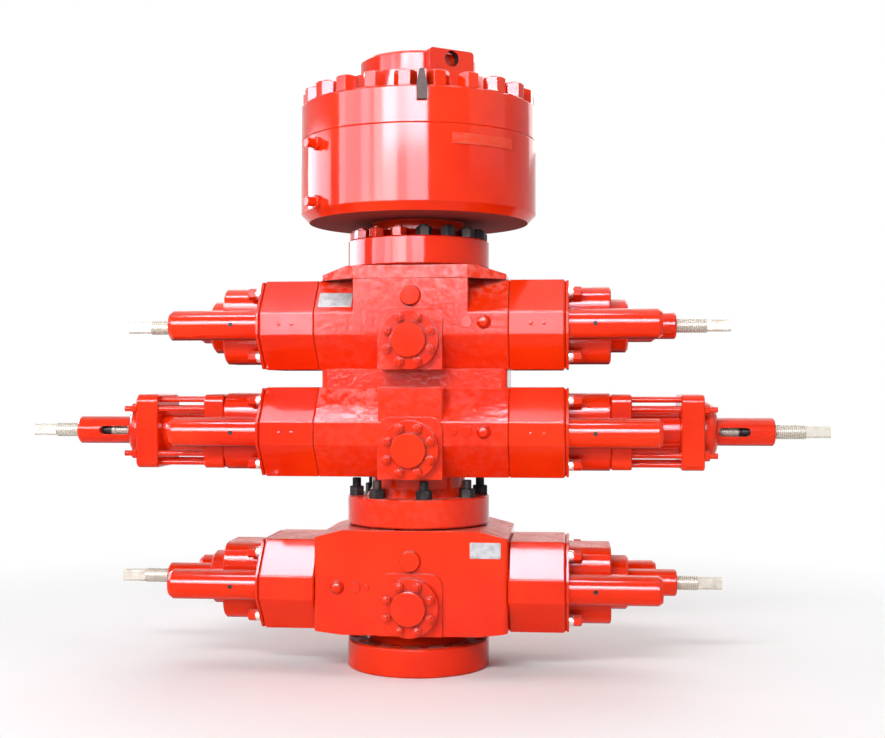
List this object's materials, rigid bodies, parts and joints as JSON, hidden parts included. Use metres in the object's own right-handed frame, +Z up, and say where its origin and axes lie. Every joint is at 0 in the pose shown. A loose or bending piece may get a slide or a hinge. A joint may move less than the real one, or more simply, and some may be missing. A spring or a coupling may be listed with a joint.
{
  "type": "blowout preventer stack",
  "caption": "Land drilling blowout preventer stack: a round annular preventer bolted on a double and a single ram preventer with side bonnets, boosters and hand lock screws.",
  "frame": {"origin": "centre of the bottom flange's face, on the wellbore's axis", "axes": "+Z up along the wellbore, +X along the rams, -Y towards the viewer of the picture"},
  "size_m": [3.818, 1.159, 2.867],
  "materials": {
    "orange_enamel": "glossy orange-red enamel",
    "bright_steel": "bare turned steel",
    "dark_steel": "dark oiled steel",
    "gasket_steel": "dull steel in shadow",
    "packer_rubber": "black moulded rubber"
  },
  "bodies": {
    "stack": {"single_ram_body": "orange_enamel", "double_ram_body": "orange_enamel", "ring_gaskets": "gasket_steel", "port_plugs": "orange_enamel", "annular_lower_housing": "orange_enamel", "annular_ports": "orange_enamel", "annular_upper_housing": "orange_enamel", "packing_element": "packer_rubber", "lifting_lugs": "orange_enamel", "rim_keepers": "dark_steel", "outlet_blind_flanges": "orange_enamel", "booster_tie_rods": "orange_enamel", "single_left_intermediate_flange": "orange_enamel", "single_right_intermediate_flange": "orange_enamel", "lower_left_intermediate_flange": "orange_enamel", "lower_right_intermediate_flange": "orange_enamel", "upper_left_intermediate_flange": "orange_enamel", "upper_right_intermediate_flange": "orange_enamel", "single_left_bonnet": "orange_enamel", "single_right_bonnet": "orange_enamel", "lower_left_bonnet": "orange_enamel", "lower_right_bonnet": "orange_enamel", "upper_left_bonnet": "orange_enamel", "upper_right_bonnet": "orange_enamel", "single_left_cylinder_head": "orange_enamel", "single_right_cylinder_head": "orange_enamel", "upper_left_cylinder_head": "orange_enamel", "upper_right_cylinder_head": "orange_enamel", "single_ram_change_cylinders": "orange_enamel", "lower_ram_change_cylinders": "orange_enamel", "upper_ram_change_cylinders": "orange_enamel", "left_booster_inner_plate": "orange_enamel", "left_booster_end_plate": "orange_enamel", "left_booster_barrel": "orange_enamel", "left_booster_cap_and_housing": "orange_enamel", "right_booster_inner_plate": "orange_enamel", "right_booster_end_plate": "orange_enamel", "right_booster_barrel": "orange_enamel", "right_booster_cap_and_housing": "orange_enamel"},
    "single_left_lock_screw": {"single_left_lock_screw": "bright_steel"},
    "single_right_lock_screw": {"single_right_lock_screw": "bright_steel"},
    "lower_left_lock_screw": {"lower_left_lock_screw": "bright_steel"},
    "lower_right_lock_screw": {"lower_right_lock_screw": "bright_steel"},
    "upper_left_lock_screw": {"upper_left_lock_screw": "bright_steel"},
    "upper_right_lock_screw": {"upper_right_lock_screw": "bright_steel"}
  },
  "joints": [
    {"name": "single_left_lock_screw_slide", "type": "slide", "parent": "stack", "child": "single_left_lock_screw", "axis": [1, 0, 0], "range_m": [0, 0.19]},
    {"name": "single_right_lock_screw_slide", "type": "slide", "parent": "stack", "child": "single_right_lock_screw", "axis": [-1, 0, 0], "range_m": [0, 0.19]},
    {"name": "lower_left_lock_screw_slide", "type": "slide", "parent": "stack", "child": "lower_left_lock_screw", "axis": [1, 0, 0], "range_m": [0, 0.19]},
    {"name": "lower_right_lock_screw_slide", "type": "slide", "parent": "stack", "child": "lower_right_lock_screw", "axis": [-1, 0, 0], "range_m": [0, 0.19]},
    {"name": "upper_left_lock_screw_slide", "type": "slide", "parent": "stack", "child": "upper_left_lock_screw", "axis": [1, 0, 0], "range_m": [0, 0.19]},
    {"name": "upper_right_lock_screw_slide", "type": "slide", "parent": "stack", "child": "upper_right_lock_screw", "axis": [-1, 0, 0], "range_m": [0, 0.19]}
  ]
}
